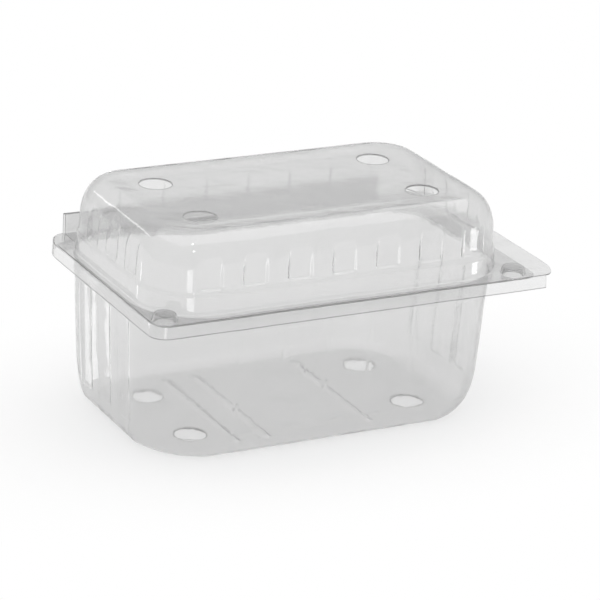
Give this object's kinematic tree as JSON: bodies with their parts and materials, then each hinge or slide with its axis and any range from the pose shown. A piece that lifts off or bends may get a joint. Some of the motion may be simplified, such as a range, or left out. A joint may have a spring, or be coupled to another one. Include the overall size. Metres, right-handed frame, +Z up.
{
  "type": "hinged plastic punnet",
  "caption": "Clear thermoformed punnet: a fluted round-cornered tub, a domed lid on a back hinge, snap studs, a side tab and round vents.",
  "frame": {"origin": "on the surface the punnet stands on, under the middle of the four vents", "axes": "+Z up, +X towards the opening tab along the long side, +Y towards the hinge"},
  "size_m": [0.1876, 0.1152, 0.0981],
  "materials": {
    "clear_tray": "clear polyester sheet, gloss",
    "clear_lid": "clear polyester sheet, gloss"
  },
  "bodies": {
    "tray": {"tray": "clear_tray"},
    "lid": {"lid": "clear_lid"}
  },
  "joints": [
    {"name": "lid_hinge", "type": "hinge", "parent": "tray", "child": "lid", "pos_m": [0, 0.0575, 0.0739], "axis": [-1, 0, 0], "range_deg": [0, 180]}
  ]
}
